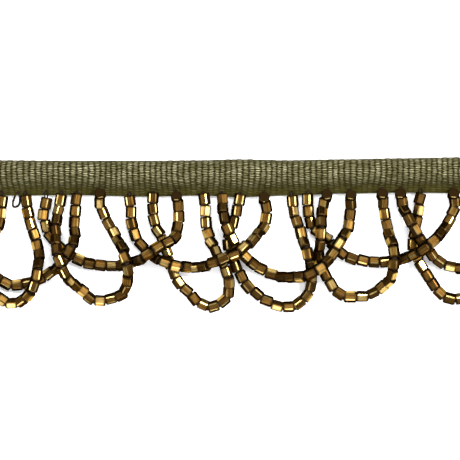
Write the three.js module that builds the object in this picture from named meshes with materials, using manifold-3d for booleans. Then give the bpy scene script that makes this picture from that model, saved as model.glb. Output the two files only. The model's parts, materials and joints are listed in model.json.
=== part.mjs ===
// Beaded fringe trim: a ribbon folded lengthwise into a soft heading, with looped strands of beads sewn to its
// lip. Millimetres. X runs along the trim, +Y to the ribbon's fold, +Z away from the surface it lies on.
import * as THREE from 'three';
import { mergeVertices } from 'three/addons/utils/BufferGeometryUtils.js';
import Module from 'manifold-3d';

const wasm = await Module();
wasm.setup();

// Ribbon heading
const TRIM_LENGTH = 138;
const STATION_STEP = 3;
const RIBBON_WALL = 1;
const LIP_WIDTH = 1.1;
const PARTING = 0.3;
const LIP_HEIGHT = 1.4;

// The ribbon's two long edges and its puffed height, read along the trim
const EDGES = [
  { x: -69, fold: 3.6, lip: -3.5, crown: 3.5 },
  { x: -41, fold: 3.5, lip: -3.6, crown: 3.4 },
  { x: -27, fold: 3.4, lip: -3.5, crown: 3.6 },
  { x: -12, fold: 3.4, lip: -3.8, crown: 3.4 },
  { x: -1, fold: 3.5, lip: -3.6, crown: 3.7 },
  { x: 7, fold: 3.7, lip: -3.9, crown: 3.5 },
  { x: 16, fold: 3.5, lip: -3.6, crown: 3.6 },
  { x: 28, fold: 3.7, lip: -3.2, crown: 3.4 },
  { x: 39, fold: 3.9, lip: -3.0, crown: 3.6 },
  { x: 51, fold: 4.1, lip: -3.1, crown: 3.7 },
  { x: 69, fold: 4.0, lip: -3.2, crown: 3.5 },
];

// Section of the folded ribbon: u runs from the fold, 0, to the seam, 1, and z is the height at a crown of 3.6
const SECTION_CROWN = 3.6;
const OUTER = [
  { u: 1, z: 0 },
  { u: 0.16, z: 0 },
  { u: 0.06, z: 0.35 },
  { u: 0, z: 1.2 },
  { u: 0.02, z: 2.1 },
  { u: 0.11, z: 3.0 },
  { u: 0.24, z: 3.45 },
  { u: 0.38, z: 3.6 },
  { u: 0.53, z: 3.45 },
  { u: 0.69, z: 3.0 },
  { u: 0.84, z: 2.5 },
  { u: 1, z: 2.3 },
];
const INNER = [
  { u: 1, z: 1.3 },
  { u: 0.84, z: 1.5 },
  { u: 0.69, z: 2.0 },
  { u: 0.53, z: 2.45 },
  { u: 0.38, z: 2.6 },
  { u: 0.27, z: 2.45 },
  { u: 0.2, z: 2.1 },
  { u: 0.17, z: 1.6 },
  { u: 0.18, z: 1.2 },
  { u: 0.22, z: 1.0 },
  { u: 1, z: 1.0 },
];

// Beads of the strands, which are four-sided here
const BEAD = { width: 2.0, height: 2.1, pitch: 2.34, gap: 0.24, neck: 0.45 };
const STRAND_CENTRE = BEAD.height / 2;
const SQUARE = [[-1, -1], [1, -1], [1, 1], [-1, 1]];

// How finely a strand's line is measured
const CURVE_DIVISIONS = 400;

// How a strand lies over the ones laid before it
const LAY = { step: 0.4, clearance: 0.3, slope: 1, rounding: 0.8, power: 4 };

// How far inside the lip's lower edge a strand's root lies
const ROOT_HOLD = 0.5;

// Loops in the order in which they are laid, from the lowest. roots holds the x of the left and the right root,
// and run the x and y of the strand's line between them, chosen about every second bead.
const LOOPS = [
  { name: 'long_5', roots: [43.1, 53.1],
    run: [[42.9, -4.3], [42.3, -9.0], [41.4, -13.2], [42.2, -16.2], [44.6, -19.9], [47.7, -23.6],
      [52.4, -23.9], [55.6, -20.6], [55.5, -15.8], [53.8, -8.4]] },
  { name: 'wide_5', roots: [39.0, 67.0],
    run: [[39.4, -5.3], [41.4, -9.9], [44.4, -14.0], [46.3, -16.4], [50.2, -17.9], [55.0, -18.1],
      [59.4, -16.3], [63.5, -13.2], [66.3, -9.0], [67.1, -4.6]] },
  { name: 'wide_4', roots: [20.6, 49.4],
    run: [[20.5, -5.0], [21.1, -9.4], [24.5, -12.3], [28.1, -15.6], [32.8, -16.7], [37.6, -16.4],
      [42.0, -15.1], [46.1, -12.3], [49.1, -8.4], [50.1, -5.0]] },
  { name: 'long_4', roots: [24.4, 35.3],
    run: [[23.5, -5.9], [23.2, -10.7], [22.7, -15.4], [24.7, -19.9], [27.6, -23.5], [30.3, -23.5],
      [32.8, -23.4], [37.0, -20.5], [37.7, -15.5], [36.5, -10.2], [35.6, -5.4]] },
  { name: 'long_3', roots: [7.1, 17.1],
    run: [[6.8, -4.8], [5.7, -8.9], [4.6, -12.1], [4.6, -13.9], [6.2, -17.3], [7.8, -20.9], [11.5, -23.9],
      [16.0, -25.7], [18.5, -25.3], [19.9, -23.7], [21.4, -21.3], [20.8, -16.3], [19.4, -11.5], [17.8, -7.1]] },
  { name: 'wide_3', roots: [3.4, 29.0],
    run: [[3.3, -4.8], [4.0, -8.8], [6.0, -13.2], [9.1, -16.9], [13.4, -19.0], [18.1, -19.7],
      [22.6, -18.1], [26.1, -14.4], [28.7, -10.1], [29.1, -5.4]] },
  { name: 'long_2', roots: [-10.2, -0.2],
    run: [[-10.5, -6.5], [-10.2, -8.8], [-8.4, -12.6], [-7.2, -16.4], [-5.3, -21.2], [-2.0, -24.6],
      [0.3, -25.7], [2.6, -25.1], [4.4, -23.9], [4.7, -19.6], [2.5, -15.0], [0.5, -10.8], [0.2, -6.1]] },
  { name: 'wide_2', roots: [-14.9, 11.9],
    run: [[-14.8, -7.1], [-13.8, -11.9], [-10.9, -15.3], [-7.2, -17.0], [-2.7, -17.8], [1.9, -16.8],
      [6.4, -14.9], [10.4, -11.5], [12.2, -8.0], [11.9, -4.8]] },
  { name: 'wide_1', roots: [-31.7, -5.8],
    run: [[-31.9, -5.2], [-32.0, -9.6], [-29.8, -13.1], [-25.6, -16.1], [-21.1, -17.4], [-16.2, -17.4],
      [-12.5, -15.9], [-8.2, -13.2], [-6.3, -11.8], [-5.3, -7.0]] },
  { name: 'wide_0', roots: [-49.2, -25.5],
    run: [[-49.4, -5.4], [-48.8, -10.2], [-46.2, -15.0], [-42.4, -19.2], [-38.1, -21.4], [-35.5, -20.9],
      [-32.8, -20.3], [-29.0, -17.4], [-26.3, -13.4], [-26.1, -10.7], [-25.9, -6.2]] },
  { name: 'long_1', roots: [-28.7, -21.0],
    run: [[-29.1, -5.9], [-29.8, -10.4], [-29.2, -15.3], [-27.7, -19.7], [-24.1, -23.3], [-21.9, -24.4],
      [-19.2, -24.0], [-17.0, -23.1], [-15.7, -21.1], [-15.5, -18.1], [-17.0, -13.2], [-19.0, -9.2],
      [-21.0, -5.4]] },
  { name: 'long_0', roots: [-45.4, -35.8],
    run: [[-45.8, -8.0], [-46.2, -13.2], [-44.9, -18.2], [-42.2, -22.6], [-39.5, -24.9], [-37.5, -24.7],
      [-34.4, -22.0], [-33.0, -17.9], [-33.6, -12.9], [-35.0, -9.0], [-35.7, -4.8]] },
  { name: 'long_m1', roots: [-63.0, -55.0],
    run: [[-63.5, -6.1], [-64.2, -10.6], [-63.6, -15.5], [-61.8, -19.8], [-58.6, -23.4], [-56.2, -24.3],
      [-53.8, -24.0], [-51.4, -21.8], [-50.6, -18.0], [-51.6, -13.3], [-53.6, -9.4], [-55.1, -5.6]] },
  { name: 'wide_m1', roots: [-67.4, -40.6],
    run: [[-67.5, -5.4], [-66.6, -10.2], [-63.4, -14.6], [-58.8, -17.2], [-54.0, -17.9], [-49.2, -16.6],
      [-45.0, -13.8], [-41.5, -10.3], [-40.6, -6.0]] },
];

// The heading's edges at x, eased between the rows of EDGES
function edgesAt(x) {
  const next = Math.max(1, EDGES.findIndex((row) => row.x >= x));
  const a = EDGES[next - 1];
  const b = EDGES[next];
  const t = THREE.MathUtils.smoothstep(x, a.x, b.x);
  const read = (column) => THREE.MathUtils.lerp(a[column], b[column], t);
  return { fold: read('fold'), lip: read('lip'), crown: read('crown') };
}

// A closed solid through rings of points, each ring alike and in the same order, with both ends capped
function sweptSolid(rings, capOutline) {
  const count = rings[0].length;
  const positions = rings.flat().flatMap((p) => [p.x, p.y, p.z]);
  const faces = [];
  for (let r = 0; r + 1 < rings.length; r += 1) {
    for (let k = 0; k < count; k += 1) {
      const a = r * count + k;
      const b = r * count + ((k + 1) % count);
      faces.push([a, b, b + count], [a, b + count, a + count]);
    }
  }
  const last = (rings.length - 1) * count;
  for (const [a, b, c] of THREE.ShapeUtils.triangulateShape(capOutline, [])) {
    faces.push([a, c, b], [last + a, last + b, last + c]);
  }
  const geometry = new THREE.BufferGeometry();
  geometry.setAttribute('position', new THREE.Float32BufferAttribute(positions, 3));
  geometry.setIndex(faces.flat());
  return geometry;
}

function stationsAlong(length) {
  const count = Math.round(length / STATION_STEP);
  return Array.from({ length: count + 1 }, (_, i) => -length / 2 + (i * length) / count);
}

// Ribbon, folded in half lengthwise: one back-and-forth section of its two layers
function ribbonGeometry() {
  const outline = [...OUTER, ...INNER];
  const rings = stationsAlong(TRIM_LENGTH).map((x) => {
    const { fold, lip, crown } = edgesAt(x);
    const seam = lip + LIP_WIDTH + PARTING;
    const puff = (crown - RIBBON_WALL) / (SECTION_CROWN - RIBBON_WALL);
    const rise = (z) => (z > RIBBON_WALL ? RIBBON_WALL + (z - RIBBON_WALL) * puff : z);
    return outline.map(({ u, z }) => new THREE.Vector3(x, THREE.MathUtils.lerp(fold, seam, u), rise(z)));
  });
  return sweptSolid(rings, outline.map(({ u, z }) => new THREE.Vector2(-u, z)));
}

// Lip: the ribbon's two edges sewn hard together, which hold every strand's root
function lipGeometry() {
  const rings = stationsAlong(TRIM_LENGTH).map((x) => {
    const { lip } = edgesAt(x);
    return [[lip, 0], [lip + LIP_WIDTH, 0], [lip + LIP_WIDTH, LIP_HEIGHT], [lip, LIP_HEIGHT]]
      .map(([y, z]) => new THREE.Vector3(x, y, z));
  });
  return sweptSolid(rings, rings[0].map(({ y, z }) => new THREE.Vector2(y, z)));
}

// A loop's line in plan, from its left root to its right root
function loopCurve(loop) {
  const [left, right] = loop.roots.map((x) => new THREE.Vector3(x, edgesAt(x).lip + ROOT_HOLD, 0));
  const between = loop.run.map(([x, y]) => new THREE.Vector3(x, y, 0));
  const curve = new THREE.CatmullRomCurve3([left, ...between, right], false, 'centripetal');
  curve.arcLengthDivisions = CURVE_DIVISIONS;
  return curve;
}

// Heights of a strand's points that clear the ones laid before it, with no rise steeper than LAY.slope
function heightsOver(points, laid, step) {
  const reach = STRAND_CENTRE * 2 + LAY.clearance;
  const need = points.map((p) => {
    let height = STRAND_CENTRE;
    for (const q of laid) {
      const apart = Math.hypot(p.x - q.x, p.y - q.y);
      if (apart < reach) {
        const rise = reach * (1 - (apart / reach) ** LAY.power) ** (1 / LAY.power);
        height = Math.max(height, q.z + rise);
      }
    }
    return height;
  });
  const sloped = need.map((_, i) => Math.max(...need.map((h, j) => h - LAY.slope * step * Math.abs(i - j))));
  const window = Math.round(LAY.rounding / step);
  const around = (list, i) => list.slice(Math.max(0, i - window), i + window + 1);
  const widened = sloped.map((_, i) => Math.max(...around(sloped, i)));
  return widened.map((_, i) => {
    const near = around(widened, i);
    return Math.max(STRAND_CENTRE, near.reduce((sum, h) => sum + h, 0) / near.length);
  });
}

// Lays the loops one after another and gives each its line in space
function layLoops() {
  const laid = [];
  return LOOPS.map((loop) => {
    const curve = loopCurve(loop);
    const length = curve.getLength();
    const count = Math.round(length / LAY.step);
    const points = curve.getSpacedPoints(count);
    const heights = heightsOver(points, laid, length / count);
    points.forEach((p, i) => { p.z = heights[i]; });
    laid.push(...points);
    return { points, length };
  });
}

// The point and the plan direction at a distance along a laid line
function placeOn(line, distance) {
  const at = THREE.MathUtils.clamp(distance / line.length, 0, 1) * (line.points.length - 1);
  const i = Math.min(Math.floor(at), line.points.length - 2);
  const point = line.points[i].clone().lerp(line.points[i + 1], at - i);
  const a = line.points[Math.max(i - 1, 0)];
  const b = line.points[Math.min(i + 2, line.points.length - 1)];
  const across = new THREE.Vector3(a.y - b.y, b.x - a.x, 0).normalize();
  return { point, across };
}

// One strand: square-cut beads in a row, drawn in to a neck between each two
function strandGeometry(line) {
  const beads = Math.round(line.length / BEAD.pitch);
  const pitch = line.length / beads;
  const up = new THREE.Vector3(0, 0, 1);
  const cuts = [];
  for (let i = 0; i < beads; i += 1) {
    cuts.push([i * pitch, BEAD.neck], [i * pitch + BEAD.gap / 2, 1], [(i + 1) * pitch - BEAD.gap / 2, 1]);
  }
  cuts.push([line.length, BEAD.neck]);
  const rings = cuts.map(([distance, size]) => {
    const { point, across } = placeOn(line, distance);
    const half = { across: (BEAD.width / 2) * size, up: (BEAD.height / 2) * size };
    return SQUARE.map(([side, rise]) => point.clone()
      .addScaledVector(across, side * half.across)
      .addScaledVector(up, rise * half.up));
  });
  return sweptSolid(rings, SQUARE.map(([x, y]) => new THREE.Vector2(x, y)));
}

function toManifold(geometry) {
  const merged = mergeVertices(geometry);
  return new wasm.Manifold(new wasm.Mesh({
    numProp: 3,
    vertProperties: new Float32Array(merged.attributes.position.array),
    triVerts: new Uint32Array(merged.index.array),
  }));
}

function toGeometry(manifold) {
  const { vertProperties, triVerts } = manifold.getMesh();
  const geometry = new THREE.BufferGeometry();
  geometry.setAttribute('position', new THREE.Float32BufferAttribute(vertProperties, 3));
  geometry.setIndex(Array.from(triVerts));
  return geometry;
}

// Bead fringe: every strand fused by its two roots into the lip
function fringeGeometry() {
  const lip = toManifold(lipGeometry());
  return toGeometry(layLoops().reduce((whole, line) => whole.add(toManifold(strandGeometry(line))), lip));
}

function addPiece(group, name, geometry, look) {
  geometry.computeVertexNormals();
  const mesh = new THREE.Mesh(geometry, new THREE.MeshStandardMaterial({ flatShading: true, ...look }));
  mesh.name = name;
  group.add(mesh);
}

const group = new THREE.Group();
addPiece(group, 'ribbon_heading', ribbonGeometry(), { color: 0x6b6840, roughness: 0.75, metalness: 0 });
addPiece(group, 'bead_fringe', fringeGeometry(), { color: 0x8a6a35, roughness: 0.3, metalness: 0.8 });

export default group;
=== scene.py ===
"""Looks of the beaded fringe trim: a puffed grosgrain heading and its looped strands of hex-cut beads."""
import json
import math
import random

import bpy
import numpy as np
from mathutils import Matrix, Vector

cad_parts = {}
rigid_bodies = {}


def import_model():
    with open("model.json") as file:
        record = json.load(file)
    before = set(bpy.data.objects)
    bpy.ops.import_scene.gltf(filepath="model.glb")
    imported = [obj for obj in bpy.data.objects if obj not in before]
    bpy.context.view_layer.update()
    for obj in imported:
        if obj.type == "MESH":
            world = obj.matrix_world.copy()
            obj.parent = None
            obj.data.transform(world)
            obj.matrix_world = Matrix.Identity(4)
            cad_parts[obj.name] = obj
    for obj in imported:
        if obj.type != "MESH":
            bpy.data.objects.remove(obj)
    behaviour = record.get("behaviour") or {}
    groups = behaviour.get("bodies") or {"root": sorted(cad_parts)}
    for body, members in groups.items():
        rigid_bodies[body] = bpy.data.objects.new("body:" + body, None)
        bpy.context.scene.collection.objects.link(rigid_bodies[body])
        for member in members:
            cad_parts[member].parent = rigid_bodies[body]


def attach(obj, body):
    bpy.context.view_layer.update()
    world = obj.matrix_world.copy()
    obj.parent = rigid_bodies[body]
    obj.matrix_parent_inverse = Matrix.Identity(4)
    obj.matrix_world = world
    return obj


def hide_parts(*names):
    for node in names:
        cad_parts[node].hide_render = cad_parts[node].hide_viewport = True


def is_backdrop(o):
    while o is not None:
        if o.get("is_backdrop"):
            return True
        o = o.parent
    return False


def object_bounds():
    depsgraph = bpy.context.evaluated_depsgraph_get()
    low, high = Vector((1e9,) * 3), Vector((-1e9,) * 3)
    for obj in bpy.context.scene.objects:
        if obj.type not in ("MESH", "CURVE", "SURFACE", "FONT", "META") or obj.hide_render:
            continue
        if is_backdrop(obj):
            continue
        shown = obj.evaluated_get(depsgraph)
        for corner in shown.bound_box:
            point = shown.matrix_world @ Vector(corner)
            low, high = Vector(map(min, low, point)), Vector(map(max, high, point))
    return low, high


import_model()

CAD_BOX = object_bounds()
MM = 0.001

# Trim sizes, mm
TRIM_LENGTH = 138.0
RIBBON_THICKNESS = 0.42
LAYER_GAP = 0.02
LIP_TOP = 0.95

# The ribbon's two long edges and its puffed height, read along the trim
EDGES = [
    {"x": -69, "fold": 3.70, "lip": -3.45, "crown": 3.5},
    {"x": -41, "fold": 3.60, "lip": -3.55, "crown": 3.4},
    {"x": -27, "fold": 3.50, "lip": -3.45, "crown": 3.6},
    {"x": -12, "fold": 3.50, "lip": -3.75, "crown": 3.4},
    {"x": -1, "fold": 3.60, "lip": -3.55, "crown": 3.7},
    {"x": 7, "fold": 3.80, "lip": -3.85, "crown": 3.5},
    {"x": 16, "fold": 3.60, "lip": -3.55, "crown": 3.6},
    {"x": 28, "fold": 3.80, "lip": -3.15, "crown": 3.4},
    {"x": 39, "fold": 4.00, "lip": -2.95, "crown": 3.6},
    {"x": 51, "fold": 4.20, "lip": -3.05, "crown": 3.7},
    {"x": 69, "fold": 4.10, "lip": -3.15, "crown": 3.5},
]

# Sections of the folded ribbon, from the fold, u 0, to the lip, u 1, with z at a crown of 3.6
SECTION_CROWN = 3.6
FRONT_SECTION = [
    (0.0, 1.25), (0.018, 2.0), (0.08, 2.85), (0.18, 3.35), (0.3, 3.58), (0.43, 3.5), (0.55, 3.12),
    (0.65, 2.5), (0.73, 1.75), (0.8, 1.2), (0.86, 1.0), (0.93, 1.02), (1.0, 0.95),
]
BACK_SECTION = [(0.0, 1.25), (0.012, 0.75), (0.045, 0.3), (0.11, 0.05), (0.2, 0.0), (1.0, 0.0)]

# Plain weave, mm: ribs run across the ribbon, and each warp thread floats over every other rib
RIB_PITCH = 1.14
WARP_PITCH = 0.37
FLOAT_HEIGHT = 0.1
FLOAT_DIP = 0.6
FLOAT_POWER = 1.6
SELVEDGE = {"width": 1.6, "height": 0.5, "relief": 0.2}

# How the ribs sway along the trim, in mm and radians, and the mm over which that dies out at its ends
RIB_SWAY = [{"reach": 0.22, "wave": 0.21, "start": 0.0}, {"reach": 0.12, "wave": 0.57, "start": 1.3}]
SWAY_HALF_WAVES = 1.3
SWAY_FADE = 4

# How finely the ribbon is divided, and how it is welded, in metres, and smoothed, in degrees
VERTS_PER_RIB = 6
VERTS_PER_WARP = 3
BACK_STEPS = 16
INNER_STEPS = 14
INNER_BACK_STEPS = 7
MEASURE_STEPS = 200
SMOOTH_ANGLE = 55
WELD_REACH = 1e-7

# Beads, mm
BEAD_ACROSS = 2.44
BEAD_LENGTH = 2.2
BEAD_PITCH = 2.3
RIM_TAPER = 0.08
RIM_DRAW = 0.04
END_TAPER = 0.15
END_DRAW = 0.1
EDGE_WEAR = 0.16

# How much beads differ: shares of the bead's pitch and girth, radians, degrees and mm
UNEVEN = {"pitch": (0.93, 1.07), "girth": (0.95, 1.03), "roll": 0.52, "flat_share": 0.4,
          "flat_roll": 0.16, "tilt": 4, "aside": 0.08}

# The x of the roots whose first bead stands on end, its lean from upright in degrees, its share of a
# bead's length along the strand, how far it is moved, mm, and how far from its root it lifts the strand
STOOD_ROOTS = (-21.0, -5.8, 11.9, 24.4, 29.0, 35.3, 39.0, 49.4)
STOOD_LEAN = -25
STOOD_SHARE = 0.72
STOOD_SHIFT = (0, -0.45, 0.1)
STOOD_REACH = 1

# How a strand lies over the ones laid before it, mm
STRAND_CENTRE = 1.19
LIP_EDGE = 0.1
LAY = {"step": 0.4, "clearance": 0.1, "slope": 1.0, "rounding": 0.8, "power": 2.6}

# Thread, mm. A root stitch's foot, waist and head are how far its two sides stand from its middle, drop
# is how far its foot hangs below the bead's start, and turn how far it rounds off at its top.
CORE_ACROSS = 1.3
STITCH_ACROSS = 0.3
STRAY_ACROSS = 0.45
STITCH = {"foot": 0.2, "waist": 0.3, "head": 0.26, "over_lip": 0.85, "over_bead": 0.3, "lean": 0.15,
          "drop": 0.3, "foot_z": 0.8, "rise": 0.12, "turn": 0.15, "top": 0.05, "sink": 0.1}
STRAY_LOOP = [
    (-37.0, -2.8, 1.0), (-37.6, -3.0, 0.9), (-38.1, -4.0, 0.35), (-38.4, -5.0, 0.2), (-38.3, -5.7, 0.2),
    (-37.6, -5.7, 0.2), (-37.1, -5.1, 0.25), (-37.0, -3.8, 0.5), (-37.2, -2.9, 1.0),
]

# Loops in the order in which they are laid, from the lowest. roots holds the x of the left and the right
# root, tops the y at which the beads start, and run the x and y of the strand's line between them.
LOOPS = [
    {"name": "long_5", "roots": (43.1, 53.1), "tops": (-3.0, -2.8),
     "run": [(42.9, -4.3), (42.3, -9.0), (41.4, -13.2), (42.35, -16.2), (44.75, -19.85), (47.7, -23.7),
             (52.4, -23.9), (55.6, -20.6), (55.5, -15.8), (53.8, -8.4)]},
    {"name": "wide_5", "roots": (39.0, 67.0), "tops": (-2.2, -3.0),
     "run": [(39.4, -5.3), (41.4, -9.9), (44.3, -14.1), (46.3, -16.55), (50.2, -18.05), (55.0, -18.1),
             (59.4, -16.3), (63.5, -13.2), (66.3, -9.0), (67.1, -4.6)]},
    {"name": "wide_4", "roots": (20.6, 49.4), "tops": (-3.1, -2.2),
     "run": [(20.5, -5.0), (21.1, -9.4), (24.5, -12.3), (28.1, -15.6), (32.8, -16.8), (37.6, -16.5),
             (42.0, -15.1), (45.95, -12.15), (48.95, -8.3), (50.1, -5.0)]},
    {"name": "long_4", "roots": (24.4, 35.3), "tops": (-2.5, -2.2),
     "run": [(23.5, -5.9), (23.2, -10.7), (22.7, -15.4), (24.5, -20.1), (25.8, -22.15), (27.5, -23.7),
             (30.3, -23.65), (32.8, -23.5), (36.85, -20.4), (37.55, -15.4), (36.4, -10.2), (35.6, -5.4)]},
    {"name": "long_3", "roots": (7.1, 17.35), "tops": (-3.2, -3.5),
     "run": [(6.8, -4.8), (5.7, -8.9), (4.6, -12.1), (4.6, -13.9), (6.2, -17.3), (7.95, -20.85),
             (11.45, -24.0), (16.0, -25.85), (18.6, -25.5), (20.05, -23.9), (21.45, -21.4), (20.8, -16.3),
             (19.4, -11.5), (17.8, -7.1)]},
    {"name": "wide_3", "roots": (3.4, 29.0), "tops": (-3.1, -2.5),
     "run": [(3.3, -4.8), (4.0, -8.8), (6.0, -13.2), (9.1, -16.9), (13.4, -19.15), (18.1, -19.85),
             (22.6, -18.2), (25.95, -14.25), (27.3, -12.15), (28.55, -10.1), (29.1, -5.4)]},
    {"name": "long_2", "roots": (-10.2, -0.2), "tops": (-2.9, -3.0),
     "run": [(-10.5, -6.5), (-10.2, -8.8), (-8.4, -12.6), (-7.2, -16.4), (-5.3, -21.1), (-3.5, -22.6),
             (-1.8, -24.5), (0.3, -25.85), (2.7, -25.2), (4.55, -24.0), (4.7, -19.6), (2.5, -15.0),
             (0.5, -10.8), (0.2, -6.1)]},
    {"name": "wide_2", "roots": (-14.9, 11.9), "tops": (-3.5, -3.0),
     "run": [(-14.8, -7.1), (-13.8, -11.9), (-10.9, -15.3), (-7.2, -17.0), (-2.7, -17.9), (1.9, -16.9),
             (6.4, -14.9), (10.4, -11.5), (12.3, -8.2), (11.95, -4.8)]},
    {"name": "wide_1", "roots": (-31.7, -5.8), "tops": (-3.9, -2.7),
     "run": [(-31.9, -5.2), (-32.0, -9.6), (-29.8, -13.1), (-25.6, -16.25), (-21.1, -17.6), (-16.2, -17.55),
             (-12.5, -15.9), (-8.2, -13.25), (-6.0, -12.05), (-5.2, -7.0)]},
    {"name": "wide_0", "roots": (-49.2, -25.5), "tops": (-3.2, -3.1),
     "run": [(-49.4, -5.4), (-48.8, -10.2), (-46.2, -15.0), (-42.4, -19.4), (-38.1, -21.6), (-35.5, -20.9),
             (-32.8, -20.3), (-29.0, -17.4), (-26.3, -13.4), (-26.1, -10.7), (-25.9, -6.2)]},
    {"name": "long_1", "roots": (-28.7, -21.0), "tops": (-3.2, -2.2),
     "run": [(-29.1, -5.9), (-29.8, -10.4), (-29.2, -15.3), (-27.35, -19.6), (-24.0, -23.1),
             (-21.9, -24.55), (-19.1, -24.25), (-16.65, -23.45), (-15.4, -21.3), (-15.3, -18.1),
             (-16.9, -13.2), (-19.25, -9.1), (-21.0, -5.4)]},
    {"name": "long_0", "roots": (-45.4, -35.8), "tops": (-3.2, -3.4),
     "run": [(-45.8, -8.0), (-46.2, -13.2), (-44.9, -18.2), (-42.2, -22.6), (-39.5, -25.15),
             (-37.4, -24.95), (-34.2, -22.2), (-33.0, -17.9), (-33.6, -12.9), (-35.0, -9.0), (-35.7, -4.8)]},
    {"name": "long_m1", "roots": (-63.0, -55.0), "tops": (-3.2, -2.8),
     "run": [(-63.5, -6.1), (-64.2, -10.6), (-63.6, -15.5), (-61.8, -19.8), (-58.6, -23.4), (-56.2, -24.3),
             (-53.8, -24.0), (-51.4, -21.8), (-50.6, -18.0), (-51.6, -13.3), (-53.6, -9.4), (-55.1, -5.6)]},
    {"name": "wide_m1", "roots": (-67.4, -40.6), "tops": (-3.0, -3.5),
     "run": [(-67.5, -5.4), (-66.6, -10.2), (-63.4, -14.6), (-58.8, -17.2), (-54.0, -17.9), (-49.2, -16.6),
             (-45.0, -13.8), (-41.5, -10.3), (-40.6, -6.0)]},
]

# Colours of the finishes, linear. The ribbon's pale silk is partly its own colour and partly a painted
# sheen, its pits are painted shade, and the beads' levels run from painted shade to painted highlights.
# BEAD_STEEP tints what a bead mirrors at a steep angle.
RIBBON_GROUND = [(0.1, (0.022, 0.0185, 0.002)), (0.9, (0.0205, 0.019, 0.0015))]
RIBBON_SILK_SHEEN = (0.72, 0.67, 0.43)
RIBBON_PIT_SHADE = (0.004, 0.003, 0.0)
RIBBON_GLOSS = (1.0, 0.96, 0.7)
BEAD_COAT_AND_LIGHT = [(0.0, (0.024, 0.014, 0.005)), (0.3, (0.05, 0.027, 0.007)), (0.6, (0.2, 0.108, 0.024)),
             (1.0, (0.64, 0.485, 0.185))]
BEAD_STREAKS = [(0.38, (0.5, 0.4, 0.27)), (0.58, (1.0, 1.0, 1.0))]
BEAD_END_SHADE = (0.03, 0.016, 0.005)
BEAD_STEEP = (0.12, 0.08, 0.04)
THREAD_FIBRES = [(0.3, (0.006, 0.004, 0.002)), (0.7, (0.022, 0.014, 0.008))]
FLOOR_COLOUR = (0.93, 0.93, 0.93)

# The weave's finish. slip is how far threads stray, in ribs and in warp threads. A float's brightness, a
# painted sheen, falls off by a power towards its ends and its sides, and a pit's painted shade reaches so
# far in ribs and in pairs of threads. The sheen is painted brighter on the crown and in patches, and the
# pits' shade deeper on the crown.
SLIP = {"scale": 900.0, "detail": 2.0, "rib": 0.5, "warp": 1.5}
FLOAT_FALL = {"ends": 4.0, "sides": 3.5}
PIT_SHADE = {"rib": 0.34, "pair": 0.4, "power": 0.5, "flat": 0.3, "crown": 0.98}
PATCHES = {"scale": 330.0, "detail": 3.0, "dull": 0.35, "bright": 0.65, "least": 0.5}
FLOAT_SHEEN = {"float": 0.36, "flat": 0.1}

# How much a bead's two ends are darkened by painted shade, which rounds them, and how far from its middle
# that starts and where it is full, in bead lengths
END_SHADE = {"start": 0.27, "full": 0.41, "share": 0.75}

# A bead's roughness falls as its coating level, with its painted highlights, gets brighter
BEAD_ROUGHNESS = {"coat_and_light": (0.6, 0.95), "value": (0.4, 0.24)}

# A bead's tone, from 0 dark to 1 bright, and how often it is bright all over as a painted highlight. A bead
# also has painted highlights on a lit side, at a rim and on edges, and painted shade on one side and, at a
# root, under the heading.
TONE = {"usual": (0.34, 0.54), "bright": 0.8, "bright_share": 0.09, "shaded_root_most": 0.4, "spread": 0.1}
RIM_TONE = {"glint": 0.95, "plain": 0.1, "glint_share": 0.5, "upper_share": 0.7}
SIDE_TONE = {"lit": 0.84, "shade_share": 0.55}
EDGE_GLINT = {"tone": 1.0, "share": 0.6}
OPEN_TONE = {"cap": 0.4, "cone": 0.9}
# A stood bead's painted highlight on its arc facing -Y, and the level of its other rim facets
STOOD_TONE = {"arc": 1.0, "rim": 0.2}
STOOD_LOOK = {"tone": 0.5, "lit_side": 0, "shaded_side": 0, "rim": 0.3, "ends": 0.2, "open_end": 1,
              "stood": True}

# How far a facet's normal leans along the bead, from its cap to its rim, then to the bead's side, to +Z
# and to +Y, and a bevelled edge facet's greatest share of the widest facet's area. Most edge facets carry a
# painted highlight.
FACING = {"model_end": 0.99, "cap": 0.8, "cone": 0.43, "rim": 0.1, "side": 0.25, "up": 0.3,
          "down": -0.1, "arc": -0.3}
EDGE_AREA = 0.3

# How a facet turned from upright is darkened as painted shade: where that is full, over what range, and to
# what share
UPRIGHT = {"none": 0.48, "range": 0.42, "least": 0.3}

# A bead's streaks: how fast they change along it and around it, and how far apart two beads' maps lie
STREAK = {"along": 0.35, "around": 4.0, "apart": 3.1, "choices": 50}

chance = random.Random(17)


# Helpers

def smoothstep(t):
    return t * t * (3 - 2 * t)


def edges_at(x):
    """The heading's fold, lip and crown at x, eased between the rows of EDGES."""
    xs = [row["x"] for row in EDGES]
    k = min(max(int(np.searchsorted(xs, x)), 1), len(EDGES) - 1)
    a, b = EDGES[k - 1], EDGES[k]
    t = smoothstep(min(max((x - a["x"]) / (b["x"] - a["x"]), 0.0), 1.0))
    return {name: a[name] + (b[name] - a[name]) * t for name in ("fold", "lip", "crown")}


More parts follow.
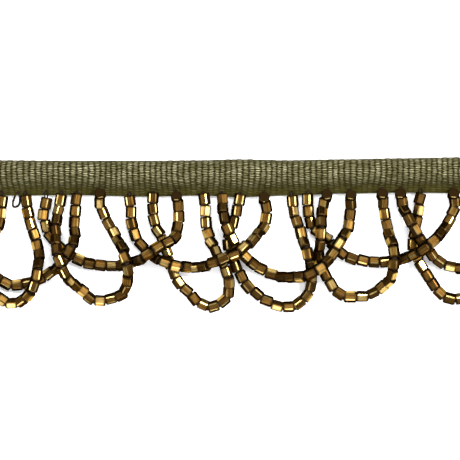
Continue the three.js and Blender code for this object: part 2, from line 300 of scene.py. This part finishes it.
def curve_through(points, per_span=40):
    """A centripetal Catmull-Rom line through the points."""
    p = np.array(points, float)
    line = []
    for i in range(len(p) - 1):
        before = p[i - 1] if i else 2 * p[0] - p[1]
        after = p[i + 2] if i + 2 < len(p) else 2 * p[-1] - p[-2]
        d0, d1, d2 = (math.sqrt(np.linalg.norm(b - a))
                      for a, b in ((before, p[i]), (p[i], p[i + 1]), (p[i + 1], after)))
        leave = ((p[i] - before) / d0 - (p[i + 1] - before) / (d0 + d1) + (p[i + 1] - p[i]) / d1) * d1
        arrive = ((p[i + 1] - p[i]) / d1 - (after - p[i]) / (d1 + d2) + (after - p[i + 1]) / d2) * d1
        for k in range(per_span):
            s = k / per_span
            line.append((2 * s**3 - 3 * s**2 + 1) * p[i] + (s**3 - 2 * s**2 + s) * leave
                        + (3 * s**2 - 2 * s**3) * p[i + 1] + (s**3 - s**2) * arrive)
    line.append(p[-1])
    return np.array(line)


def lengths_along(line):
    """The distance of each point of a line from its start."""
    steps = np.linalg.norm(np.diff(line, axis=0), axis=1)
    return np.concatenate([[0.0], np.cumsum(steps)])


def resample(line, distances):
    """The points of a line at these distances from its start."""
    along = lengths_along(line)
    return np.stack([np.interp(distances, along, line[:, k]) for k in range(line.shape[1])], axis=1)


def in_even_steps(line, count):
    return resample(line, np.linspace(0, lengths_along(line)[-1], count + 1))


def deselect_all():
    for ob in bpy.context.view_layer.objects:
        ob.select_set(False)


def select(parts):
    """Selects these objects alone, with the first one active."""
    deselect_all()
    for ob in parts:
        ob.select_set(True)
    bpy.context.view_layer.objects.active = parts[0]


def join(parts, name):
    select(parts)
    bpy.ops.object.join()
    parts[0].name = name
    return parts[0]


def edit_where(ob, kind, chosen, change):
    """Runs change in edit mode on the edges or faces of ob that chosen accepts."""
    bpy.ops.object.mode_set(mode="EDIT")
    bpy.ops.mesh.select_mode(type=kind)
    bpy.ops.mesh.select_all(action="DESELECT")
    bpy.ops.object.mode_set(mode="OBJECT")
    for item in ob.data.edges if kind == "EDGE" else ob.data.polygons:
        item.select = chosen(item)
    bpy.ops.object.mode_set(mode="EDIT")
    change()
    bpy.ops.object.mode_set(mode="OBJECT")


# Materials

class Shading:
    """A new material, with calls that each add a node to it and return the node's result."""

    def __init__(self, name):
        self.material = bpy.data.materials.new(name)
        self.material.use_nodes = True
        self.nodes = self.material.node_tree.nodes

    def feed(self, socket, value):
        """Sets a socket to a number or a colour, or links it to another node's result."""
        if isinstance(value, (int, float)):
            socket.default_value = value
        elif isinstance(value, tuple):
            socket.default_value = (*value, 1.0)
        else:
            self.material.node_tree.links.new(value, socket)

    def node(self, kind, inputs=(), **settings):
        """A node with these settings and with these of its inputs fed."""
        made = self.nodes.new(kind)
        for name, value in settings.items():
            setattr(made, name, value)
        for name, value in dict(inputs).items():
            self.feed(made.inputs[name], value)
        return made

    def calc(self, operation, a, b=None):
        values = {0: a} if b is None else {0: a, 1: b}
        return self.node("ShaderNodeMath", values, operation=operation).outputs[0]

    def between(self, value, low, high):
        """Low where the value is 0, and high where it is 1."""
        return self.calc("ADD", low, self.calc("MULTIPLY", value, high - low))

    def mapped(self, value, source, target, ease="LINEAR"):
        """The value, carried from the source range to the target range."""
        inputs = {"Value": value, "From Min": source[0], "From Max": source[1], "To Min": target[0],
                  "To Max": target[1]}
        return self.node("ShaderNodeMapRange", inputs, interpolation_type=ease).outputs[0]

    def place(self):
        return self.node("ShaderNodeTexCoord").outputs["Object"]

    def uv(self, name):
        return self.node("ShaderNodeUVMap", uv_map=name).outputs[0]

    def attribute(self, name):
        return self.node("ShaderNodeAttribute", attribute_name=name).outputs["Fac"]

    def split(self, vector):
        return self.node("ShaderNodeSeparateXYZ", {0: vector}).outputs

    def noise(self, vector, scale, detail):
        """A noise node, whose first output is its level."""
        return self.node("ShaderNodeTexNoise", {"Vector": vector, "Scale": scale, "Detail": detail})

    def ramp(self, factor, stops):
        node = self.node("ShaderNodeValToRGB", {0: factor})
        elements = node.color_ramp.elements
        while len(elements) < len(stops):
            elements.new(1.0)
        for element, (position, colour) in zip(elements, stops):
            element.position = position
            element.color = (*colour, 1.0)
        return node.outputs[0]

    def mix(self, factor, a, b, blend="MIX"):
        """Two colours mixed. A mix node's sockets for colours are its seventh and its eighth."""
        inputs = {0: factor, 6: a, 7: b}
        return self.node("ShaderNodeMix", inputs, data_type="RGBA", blend_type=blend).outputs[2]

    def bump(self, height, strength, distance):
        inputs = {"Height": height, "Strength": strength, "Distance": distance}
        return self.node("ShaderNodeBump", inputs).outputs[0]

    def surface(self, inputs):
        """Feeds the material's own shader, and returns the material."""
        for name, value in inputs.items():
            self.feed(self.nodes["Principled BSDF"].inputs[name], value)
        return self.material


def ribbon_material():
    """Grosgrain: pale floats on an olive ground, and pits that lie staggered between the ribs. The floats'
    paleness is partly the silk's own and partly a painted sheen, and the pits are painted shade.
    """
    paint = Shading("olive_grosgrain")
    calc = paint.calc
    weave = paint.split(paint.uv("weave"))
    place = paint.place()
    slip = paint.split(paint.noise(place, SLIP["scale"], SLIP["detail"]).outputs["Color"])
    rib_phase = calc("ADD", weave[0], calc("MULTIPLY", calc("SUBTRACT", slip[0], 0.5), SLIP["rib"]))
    warp_phase = calc("ADD", weave[1], calc("MULTIPLY", calc("SUBTRACT", slip[1], 0.5), SLIP["warp"]))

    def from_middle(phase):
        """0 in the middle of a thread and 1 at its two edges."""
        return calc("ABSOLUTE", calc("SUBTRACT", calc("MULTIPLY", calc("FRACT", phase), 2.0), 1.0))

    ends = calc("SUBTRACT", 1.0, calc("POWER", from_middle(rib_phase), FLOAT_FALL["ends"]))
    sides = calc("POWER", calc("SUBTRACT", 1.0, from_middle(warp_phase)), FLOAT_FALL["sides"])
    body = calc("MULTIPLY", ends, sides)

    # A pit of painted shade lies at every groove between two ribs, at every second thread, one thread
    # further at the next
    groove = calc("ROUND", rib_phase)
    beside = calc("DIVIDE", calc("SUBTRACT", rib_phase, groove), PIT_SHADE["rib"])
    pair = calc("MULTIPLY", calc("ADD", warp_phase, calc("MODULO", groove, 2.0)), 0.5)
    above = calc("DIVIDE", calc("SUBTRACT", pair, calc("ROUND", pair)), PIT_SHADE["pair"])
    reach = calc("ADD", calc("MULTIPLY", beside, beside), calc("MULTIPLY", above, above))
    pit_shade = calc("POWER", calc("MAXIMUM", calc("SUBTRACT", 1.0, reach), 0.0), PIT_SHADE["power"])

    # Each float has its own painted sheen, and all are painted brighter on the crown, where the light falls,
    # and in some patches
    cell = paint.node("ShaderNodeCombineXYZ", {0: calc("FLOOR", rib_phase), 1: calc("FLOOR", warp_phase)})
    own = paint.node("ShaderNodeTexWhiteNoise", {0: cell.outputs[0]}, noise_dimensions="2D").outputs[0]
    puff = paint.attribute("puff")
    patch = paint.noise(place, PATCHES["scale"], PATCHES["detail"]).outputs[0]
    lively = paint.mapped(patch, (PATCHES["dull"], PATCHES["bright"]), (PATCHES["least"], 1.0))
    sheen = calc("MULTIPLY", paint.between(own, FLOAT_SHEEN["float"], 1.0),
                  calc("MULTIPLY", paint.between(puff, FLOAT_SHEEN["flat"], 1.0), lively))
    dyed = paint.mix(calc("MULTIPLY", body, sheen), paint.ramp(puff, RIBBON_GROUND), RIBBON_SILK_SHEEN)
    # The pits' painted shade, deeper on the crown
    deep_shade = calc("MULTIPLY", pit_shade, paint.between(puff, PIT_SHADE["flat"], PIT_SHADE["crown"]))
    return paint.surface({
        "Base Color": paint.mix(deep_shade, dyed, RIBBON_PIT_SHADE),
        "Normal": paint.bump(body, strength=0.6, distance=0.00012),
        "Roughness": 0.5,
        "Specular IOR Level": 0.02,
        "Specular Tint": RIBBON_GLOSS,
    })


def bead_material():
    """Bronze coating at the level that each facet carries, painted highlights and shade included, with
    drawn-out streaks and painted shade towards the ends.
    """
    paint = Shading("bronze_mirror_glass")
    coat_and_light = paint.attribute("coat_and_light")
    streak = paint.noise(paint.uv("drawn"), scale=1.0, detail=3.0).outputs[0]
    bronze = paint.mix(1.0, paint.ramp(coat_and_light, BEAD_COAT_AND_LIGHT), paint.ramp(streak, BEAD_STREAKS), "MULTIPLY")
    from_middle = paint.calc("ABSOLUTE", paint.calc("SUBTRACT", paint.attribute("length"), 0.5))
    # Painted shade towards both ends, which rounds the bead
    shaded_ends = paint.mapped(from_middle, (END_SHADE["start"], END_SHADE["full"]), (0.0, END_SHADE["share"]),
                            "SMOOTHSTEP")
    return paint.surface({
        "Base Color": paint.mix(shaded_ends, bronze, BEAD_END_SHADE),
        "Metallic": 1.0,
        "Normal": paint.bump(streak, strength=0.3, distance=0.00004),
        "Roughness": paint.mapped(coat_and_light, BEAD_ROUGHNESS["coat_and_light"], BEAD_ROUGHNESS["value"]),
        "Specular Tint": BEAD_STEEP,
    })


def thread_material():
    paint = Shading("dark_brown_thread")
    fuzz = paint.noise(paint.place(), scale=6000.0, detail=2.0).outputs[0]
    return paint.surface({
        "Base Color": paint.ramp(fuzz, THREAD_FIBRES),
        "Roughness": 0.8,
        "Specular IOR Level": 0.05,
    })


def floor_material():
    return Shading("pale_floor").surface({
        "Base Color": FLOOR_COLOUR,
        "Roughness": 0.9,
        "Specular IOR Level": 0.1,
        "Emission Color": (1.0, 1.0, 1.0),
        "Emission Strength": 0.32,
    })


# Ribbon heading

def section_at(x, front_steps):
    """The ribbon's front and back at x, each a line of y and z from the fold to the lip."""
    edge = edges_at(x)
    width = edge["fold"] - edge["lip"]
    puff = (edge["crown"] - LIP_TOP) / (SECTION_CROWN - LIP_TOP)

    def placed(section):
        return [(edge["fold"] - u * width, z if z <= LIP_TOP else LIP_TOP + (z - LIP_TOP) * puff)
                for u, z in section]

    front = in_even_steps(curve_through(placed(FRONT_SECTION)), front_steps)
    back = in_even_steps(curve_through(placed(BACK_SECTION)), BACK_STEPS)
    return front, back


def normals_of(line):
    """Outward normals of a line that runs from the fold to the lip over the top."""
    d = np.gradient(line, axis=0)
    n = np.stack([d[:, 1], -d[:, 0]], axis=1)
    return n / np.linalg.norm(n, axis=1)[:, None]


def float_height(rib, warp):
    """Height, 0 to 1, of the warp floats at a rib phase and at warp phases."""
    along = 2 * (rib % 1) - 1
    pair = (warp - math.floor(rib) % 2) / 2
    across = 2 * (pair - np.round(pair))
    return np.sqrt(np.clip(1 - along ** 2 * FLOAT_DIP, 0, 1)) * (1 - np.abs(across) ** FLOAT_POWER)


def ribbon_ring(i, x, front_steps):
    """The ribbon's closed section at station i: its points, their phases in the weave and their puff."""
    front, back = section_at(x, front_steps)
    n_front = normals_of(front)
    n_back = -normals_of(back)
    across = lengths_along(front)
    rib = i / VERTS_PER_RIB
    warp = np.arange(front_steps + 1) / VERTS_PER_WARP

    inside = np.clip((across[-1] - across) / SELVEDGE["width"], 0, 1)
    plain = SELVEDGE["height"] + SELVEDGE["relief"] * (0.5 + 0.5 * np.cos(warp * math.pi))
    height = FLOAT_HEIGHT * (float_height(rib, warp) * inside + plain * (1 - inside))
    outer_front = front + n_front * (height[:, None] - FLOAT_HEIGHT)
    coarse = np.linspace(0, front_steps, INNER_STEPS + 1).round().astype(int)
    inner_front = (front - n_front * (FLOAT_HEIGHT + RIBBON_THICKNESS))[coarse]
    inner_front[:, 1] = np.maximum(inner_front[:, 1], RIBBON_THICKNESS + LAYER_GAP)
    coarse_back = np.linspace(0, BACK_STEPS, INNER_BACK_STEPS + 1).round().astype(int)
    inner_back = (back - n_back * RIBBON_THICKNESS)[coarse_back]
    ring = np.concatenate([outer_front, inner_front[::-1], inner_back[1:], back[1:][::-1]])

    lean = sum(row["reach"] * math.sin(x * row["wave"] + row["start"]) for row in RIB_SWAY)
    sway = lean * np.sin(np.clip(across / across[-1], 0, 1) * math.pi * SWAY_HALF_WAVES)
    xs = np.full(len(ring), x)
    xs[:front_steps + 1] += sway * min(1.0, (TRIM_LENGTH / 2 - abs(x)) / SWAY_FADE)
    behind = -np.arange(1.0, len(inner_back) + len(back) - 1)
    phases = np.concatenate([warp, warp[coarse][::-1], behind])
    puff = np.clip((ring[:, 1] - LIP_TOP) / (edges_at(x)["crown"] - LIP_TOP), 0, 1)
    return np.column_stack([xs, ring]), np.column_stack([np.full(len(ring), rib), phases]), puff


def by_row(columns, last):
    """Rings side by side, each closed by its point numbered last, in the order of a grid's vertices."""
    closed = np.concatenate([columns, columns[:, last, None]], axis=1)
    return closed.swapaxes(0, 1).reshape(-1, *columns.shape[2:])


def close_and_smooth(ribbon):
    """Welds the grid's seam, caps the ribbon's two cut ends and smooths it."""
    select([ribbon])
    bpy.ops.object.mode_set(mode="EDIT")
    bpy.ops.mesh.select_all(action="SELECT")
    bpy.ops.mesh.remove_doubles(threshold=WELD_REACH)
    bpy.ops.mesh.select_all(action="DESELECT")
    bpy.ops.mesh.select_mode(type="EDGE")
    bpy.ops.mesh.select_non_manifold(extend=False)
    bpy.ops.mesh.fill_holes(sides=0)
    bpy.ops.mesh.select_all(action="SELECT")
    bpy.ops.mesh.normals_make_consistent(inside=False)
    bpy.ops.object.mode_set(mode="OBJECT")
    bpy.ops.object.shade_smooth_by_angle(angle=math.radians(SMOOTH_ANGLE))


def make_ribbon():
    front, _ = section_at(0.0, MEASURE_STEPS)
    front_steps = round(lengths_along(front)[-1] / WARP_PITCH) * VERTS_PER_WARP
    stations = round(TRIM_LENGTH / RIB_PITCH) * VERTS_PER_RIB
    xs = np.linspace(-TRIM_LENGTH / 2, TRIM_LENGTH / 2, stations + 1)
    rings = [ribbon_ring(i, x, front_steps) for i, x in enumerate(xs)]
    points, phases, puffs = (np.array(column) for column in zip(*rings))
    deselect_all()
    bpy.ops.mesh.primitive_grid_add(x_subdivisions=stations, y_subdivisions=points.shape[1], size=1,
                                    calc_uvs=True)
    ribbon = bpy.context.object
    ribbon.name = "ribbon_sheet"
    mesh = ribbon.data
    mesh.vertices.foreach_set("co", (by_row(points, 0) * MM).ravel())
    index = np.empty(len(mesh.loops), np.int32)
    mesh.loops.foreach_get("vertex_index", index)
    mesh.uv_layers.active.name = "weave"
    mesh.uv_layers["weave"].data.foreach_set("uv", by_row(phases, -1)[index].ravel())
    puff = mesh.attributes.new("puff", "FLOAT", "POINT")
    puff.data.foreach_set("value", by_row(puffs, 0))
    mesh.update()
    close_and_smooth(ribbon)
    mesh.materials.append(ribbon_material())
    return ribbon


# Strands

def strand_plan(loop):
    """A strand's line seen from above, in even steps, and its length."""
    ends = list(zip(loop["roots"], loop["tops"]))
    line = curve_through([ends[0], *loop["run"], ends[1]])
    length = lengths_along(line)[-1]
    return in_even_steps(line, round(length / LAY["step"])), length


def heights_over(plan, laid, step):
    """Heights of a strand's points that clear the strands laid before it and, at a stood bead, the lip."""
    reach = 2 * STRAND_CENTRE + LAY["clearance"]
    need = np.full(len(plan), STRAND_CENTRE)
    for i, (x, y) in enumerate(plan):
        stood = any(abs(x - root) < STOOD_REACH for root in STOOD_ROOTS)
        if stood and y > edges_at(x)["lip"] + LIP_EDGE:
            need[i] = LIP_TOP + STRAND_CENTRE
    if laid:
        under = np.concatenate(laid)
        apart = np.linalg.norm(plan[:, None, :] - under[None, :, :2], axis=2)
        share = np.clip(apart / reach, 0, 1)
        rise = under[None, :, 2] + reach * (1 - share ** LAY["power"]) ** (1 / LAY["power"])
        need = np.maximum(need, np.where(share < 1, rise, STRAND_CENTRE).max(axis=1))
    k = np.arange(len(plan))
    sloped = (need[None, :] - LAY["slope"] * step * np.abs(k[:, None] - k[None, :])).max(axis=1)
    window = round(LAY["rounding"] / step)
    around = [slice(max(0, i - window), i + window + 1) for i in k]
    widened = np.array([sloped[part].max() for part in around])
    return np.maximum(STRAND_CENTRE, np.array([widened[part].mean() for part in around]))


def lay_strands():
    """The lines of all strands, x, y and z, each laid over those before it."""
    laid = []
    for loop in LOOPS:
        plan, length = strand_plan(loop)
        height = heights_over(plan, laid, length / (len(plan) - 1))
        laid.append(np.column_stack([plan, height]))
    return laid


def make_bead():
    """One hex-cut bead along X, with softened edges and ends that draw in."""
    deselect_all()
    bpy.ops.mesh.primitive_cylinder_add(vertices=6, radius=BEAD_ACROSS / 2 * MM,
                                        depth=(BEAD_LENGTH - 2 * (RIM_TAPER + END_TAPER)) * MM,
                                        end_fill_type="NGON", rotation=(0, math.pi / 2, 0), calc_uvs=True)
    bead = bpy.context.object
    bpy.ops.object.transform_apply(location=False, rotation=True, scale=True)

    def runs_lengthwise(edge):
        a, b = (bead.data.vertices[k].co for k in edge.vertices)
        return abs(a.x - b.x) > MM

    def is_end(face):
        return abs(face.normal.x) > FACING["model_end"]

    def wear():
        bpy.ops.mesh.bevel(offset=EDGE_WEAR * MM, segments=1, affect="EDGES", clamp_overlap=True)

    def draw_in():
        bpy.ops.mesh.inset(thickness=RIM_DRAW * MM, depth=RIM_TAPER * MM)
        bpy.ops.mesh.inset(thickness=END_DRAW * MM, depth=END_TAPER * MM)

    edit_where(bead, "EDGE", runs_lengthwise, wear)
    edit_where(bead, "FACE", is_end, draw_in)
    return bead


def bead_places(line, roots):
    """Centre and axis, as long as the bead, of each bead of a strand."""
    along = lengths_along(line)
    count = round(along[-1] / BEAD_PITCH)
    gaps = np.array([chance.uniform(*UNEVEN["pitch"]) for _ in range(count)])
    for end, root in zip((0, -1), roots):
        if root in STOOD_ROOTS:
            gaps[end] = STOOD_SHARE
    cuts = np.concatenate([[0.0], np.cumsum(gaps)]) * along[-1] / gaps.sum()
    points = resample(line, cuts)
    return [(Vector((a + b) / 2), Vector(b - a)) for a, b in zip(points[:-1], points[1:])]


def map_bead(mesh, offset):
    """Gives a bead its length, 0 to 1, and a streak map, slow along its length and quick around it."""
    length = mesh.attributes.new("length", "FLOAT", "POINT")
    for vertex in mesh.vertices:
        length.data[vertex.index].value = 0.5 + vertex.co.x / (BEAD_LENGTH * MM)
    layer = mesh.uv_layers.active
    layer.name = "drawn"
    for loop in mesh.loops:
        x, y, z = mesh.vertices[loop.vertex_index].co / MM
        layer.data[loop.index].uv = (offset + x * STREAK["along"],
                                      offset * STREAK["apart"] + math.atan2(z, y) * STREAK["around"])


def usual_look(open_end):
    """A bead's tones and its lit and dark sides. open_end is -1 or 1 where no bead covers that end."""
    bright = chance.random() < TONE["bright_share"]
    return {
        "tone": TONE["bright"] if bright else chance.uniform(*TONE["usual"]),
        "lit_side": chance.choice((-1, 0, 0, 1)),
        "shaded_side": chance.choice((-1, 1)),
        "rim": RIM_TONE["glint"] if chance.random() < RIM_TONE["glint_share"] else RIM_TONE["plain"],
        "ends": 0.0,
        "open_end": open_end,
        "stood": False,
    }


def open_end_level(face, lengthwise, look):
    """The coating's level on a facet of an end that shows, with a painted highlight on a stood bead's arc
    facing -Y.
    """
    if lengthwise >= FACING["cap"]:
        return look["tone"] * OPEN_TONE["cap"]
    if look["stood"]:
        return STOOD_TONE["arc"] if face.normal.y < FACING["arc"] else STOOD_TONE["rim"]
    return look["tone"] * OPEN_TONE["cone"]


def paint_coat_and_light(mesh, axis, look):
    """Gives each facet its own coating level, 0 dark to 1 bright, with painted light: painted highlights on
    edges, on a lit side and on rims facing -Y, and painted shade on one side and on facets turned from
    upright.
    """
    mesh.update()
    coat_and_light = mesh.attributes.new("coat_and_light", "FLOAT", "FACE")
    widest = max(face.area for face in mesh.polygons)
    side = Vector((-axis.y, axis.x, 0)).normalized()
    for face in mesh.polygons:
        up = smoothstep(min(max((face.normal.z - UPRIGHT["none"]) / UPRIGHT["range"], 0.0), 1.0))
        lengthwise = abs(face.normal.dot(axis))
        if look["open_end"] * face.normal.dot(axis) > FACING["rim"]:
            level, up = open_end_level(face, lengthwise, look), 1.0
        elif lengthwise > FACING["cap"]:
            level, up = look["ends"], 1.0
        elif lengthwise > FACING["cone"]:
            level = look["ends"] / 2
        # Rims facing -Y: a painted highlight or a dark rim; rims facing +Y: the tone with a little painted
        # shade
        elif lengthwise > FACING["rim"]:
            upper = look["tone"] * RIM_TONE["upper_share"]
            level = look["rim"] if face.normal.y < FACING["down"] else upper
        # Bevelled edge facets: most get a painted highlight
        elif face.area < widest * EDGE_AREA:
            level = EDGE_GLINT["tone"] if chance.random() < EDGE_GLINT["share"] else look["tone"]
        else:
            level = look["tone"] + chance.uniform(-TONE["spread"], TONE["spread"])
            # A painted highlight on a lit side, painted shade on a shaded side
            facing = face.normal.dot(side)
            if facing * look["lit_side"] > FACING["side"] and face.normal.z > FACING["up"]:
                level, up = SIDE_TONE["lit"], 1.0
            elif facing * look["shaded_side"] > FACING["side"]:
                level *= SIDE_TONE["shade_share"]
        # Painted shade on facets turned from upright
        shaded = level * (UPRIGHT["least"] + (1 - UPRIGHT["least"]) * up)
        coat_and_light.data[face.index].value = min(max(shaded, 0.0), 1.0)


def make_strand(line, model, loop):
    """A strand's beads, as copies of the model, each a little uneven in size, turn and place."""
    copies = []
    places = bead_places(line, loop["roots"])
    left, right = loop["roots"]
    ends = {0: (left, -1), len(places) - 1: (right, 1)}
    for i, (centre, axis) in enumerate(places):
        bead = model.copy()
        bead.data = model.data.copy()
        bpy.context.collection.objects.link(bead)
        map_bead(bead.data, chance.uniform(0, STREAK["choices"]))
        stretch = axis.length / BEAD_LENGTH
        girth = chance.uniform(*UNEVEN["girth"])
        if chance.random() < UNEVEN["flat_share"]:
            turn = chance.gauss(0, UNEVEN["flat_roll"])
        else:
            turn = chance.uniform(-UNEVEN["roll"], UNEVEN["roll"])
        roll = Matrix.Rotation(turn, 4, "X")
        tilt = Matrix.Rotation(math.radians(chance.gauss(0, UNEVEN["tilt"])), 4, "Z")
        nudge = Matrix.Translation((0, chance.gauss(0, UNEVEN["aside"]) * MM, 0))
        root, open_end = ends.get(i, (None, 0))
        look = usual_look(open_end)
        # A root bead is darkened as painted shade under the heading, and gets no painted highlight on a side
        if root is not None:
            look["tone"] = min(look["tone"], TONE["shaded_root_most"])
            look["lit_side"] = 0
        if root in STOOD_ROOTS:
            lean = math.radians(STOOD_LEAN)
            axis = Vector((0, -math.sin(lean), math.cos(lean))) * BEAD_LENGTH
            stretch = 1.0
            look = STOOD_LOOK
            centre = centre + Vector(STOOD_SHIFT)
        aim = axis.to_track_quat("X", "Z").to_matrix().to_4x4()
        size = Matrix.Diagonal((stretch, girth, girth, 1.0))
        bead.data.transform(Matrix.Translation(centre * MM) @ aim @ nudge @ tilt @ size @ roll)
        paint_coat_and_light(bead.data, axis.normalized(), look)
        copies.append(bead)
    return join(copies, "beads_" + loop["name"])


# Thread

def thread_tube(points, across, name):
    curve = bpy.data.curves.new(name, "CURVE")
    curve.dimensions = "3D"
    curve.bevel_depth = across / 2 * MM
    curve.bevel_resolution = 1
    curve.use_fill_caps = True
    spline = curve.splines.new("POLY")
    spline.points.add(len(points) - 1)
    for target, point in zip(spline.points, points):
        target.co = (*(c * MM for c in point), 1.0)
    tube = bpy.data.objects.new(name, curve)
    bpy.context.collection.objects.link(tube)
    select([tube])
    bpy.ops.object.convert(target="MESH")
    return bpy.context.object


def root_stitch(x, top):
    """The thread that ties a strand's end to the lip: up over the lip and back down beside itself."""
    lip = edges_at(x)["lip"]
    foot = min(top, lip + LIP_EDGE) - STITCH["drop"]
    high = max(lip + STITCH["over_lip"], top + STITCH["over_bead"])
    z = LIP_TOP + STITCH["rise"]
    lean = chance.uniform(-STITCH["lean"], STITCH["lean"])
    side = [(STITCH["foot"], 0, foot, STITCH["foot_z"]), (STITCH["waist"], 0, lip + STITCH["turn"], z),
            (STITCH["head"], lean, high - STITCH["turn"], z)]
    rising = [(x - aside + shift, y, height) for aside, shift, y, height in side]
    falling = [(x + aside + shift, y, height) for aside, shift, y, height in reversed(side)]
    points = [*rising, (x + lean, high + STITCH["top"], z - STITCH["sink"]), *falling]
    return thread_tube(curve_through(points, per_span=5), STITCH_ACROSS, "stitch")


def make_threads(lines):
    """The strands' cores, their root stitches and the stray loop, in one piece."""
    parts = [thread_tube(line[::2], CORE_ACROSS, "core") for line in lines]
    for loop in LOOPS:
        for x, top in zip(loop["roots"], loop["tops"]):
            parts.append(root_stitch(x, top))
    parts.append(thread_tube(curve_through(STRAY_LOOP, per_span=8), STRAY_ACROSS, "stray_loop"))
    threads = join(parts, "strand_threads")
    threads.data.materials.append(thread_material())
    return threads


ribbon = make_ribbon()
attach(ribbon, "root")
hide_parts("ribbon_heading")

strand_lines = lay_strands()
bead_finish = bead_material()
model = make_bead()
for loop, line in zip(LOOPS, strand_lines):
    strand = make_strand(line, model, loop)
    strand.data.materials.append(bead_finish)
    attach(strand, "root")
    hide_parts("bead_fringe")
bpy.data.objects.remove(model)

threads = make_threads(strand_lines)
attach(threads, "root")


# Floor, light and camera, in metres, but for the view and the sensor, in mm

FLOOR_SIZE = 6
FLOOR_DROP = 0.00005
LIGHT_AIM = (0.005, -0.01, 0)
LIGHTS = [
    {"name": "key_softbox", "place": (0.0, 0.3, 0.78), "size": (0.34, 0.16), "power": 4.6},
    {"name": "left_strip", "place": (-0.62, 0.0, 0.42), "size": (0.24, 0.7), "power": 3.2},
    {"name": "right_strip", "place": (0.62, 0.0, 0.42), "size": (0.24, 0.7), "power": 3.8},
    {"name": "right_key", "place": (0.46, 0.16, 0.6), "size": (0.04, 0.04), "power": 8.5},
    {"name": "front_softbox", "place": (0.0, -0.62, 0.42), "size": (0.7, 0.24), "power": 3.5},
]
SKY_COLOUR = (1.0, 0.99, 0.97)
SKY_STRENGTH = 0.42
VIEW_MIDDLE = (5.0, -10.4)
VIEW_WIDTH = 92.0
CAMERA_HEIGHT = 0.6
CAMERA_REACH = (0.01, 10.0)
SENSOR = 36.0


def make_stage():
    deselect_all()
    bpy.ops.mesh.primitive_plane_add(size=FLOOR_SIZE, location=(0, 0, -FLOOR_DROP))
    floor = bpy.context.object
    floor.name = "floor"
    floor.data.materials.append(floor_material())
    floor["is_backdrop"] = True


def make_lights():
    for row in LIGHTS:
        light = bpy.data.lights.new(row["name"], "AREA")
        light.shape = "RECTANGLE"
        light.size, light.size_y = row["size"]
        light.energy = row["power"]
        ob = bpy.data.objects.new(row["name"], light)
        ob.location = row["place"]
        ob.rotation_euler = (Vector(LIGHT_AIM) - Vector(row["place"])).to_track_quat("-Z", "Y").to_euler()
        bpy.context.collection.objects.link(ob)
    world = bpy.data.worlds.new("studio")
    world.use_nodes = True
    sky = world.node_tree.nodes["Background"]
    sky.inputs["Color"].default_value = (*SKY_COLOUR, 1.0)
    sky.inputs["Strength"].default_value = SKY_STRENGTH
    bpy.context.scene.world = world


def make_camera():
    data = bpy.data.cameras.new("camera")
    data.sensor_width = SENSOR
    data.lens = SENSOR * CAMERA_HEIGHT / (VIEW_WIDTH * MM)
    data.clip_start, data.clip_end = CAMERA_REACH
    camera = bpy.data.objects.new("camera", data)
    camera.location = (VIEW_MIDDLE[0] * MM, VIEW_MIDDLE[1] * MM, CAMERA_HEIGHT)
    bpy.context.collection.objects.link(camera)
    bpy.context.scene.camera = camera


make_stage()
make_lights()
make_camera()
bpy.context.scene.view_settings.view_transform = "Standard"

boxes = {"cad": CAD_BOX, "visual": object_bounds()}
{name: [list(corner) for corner in box] for name, box in boxes.items()}
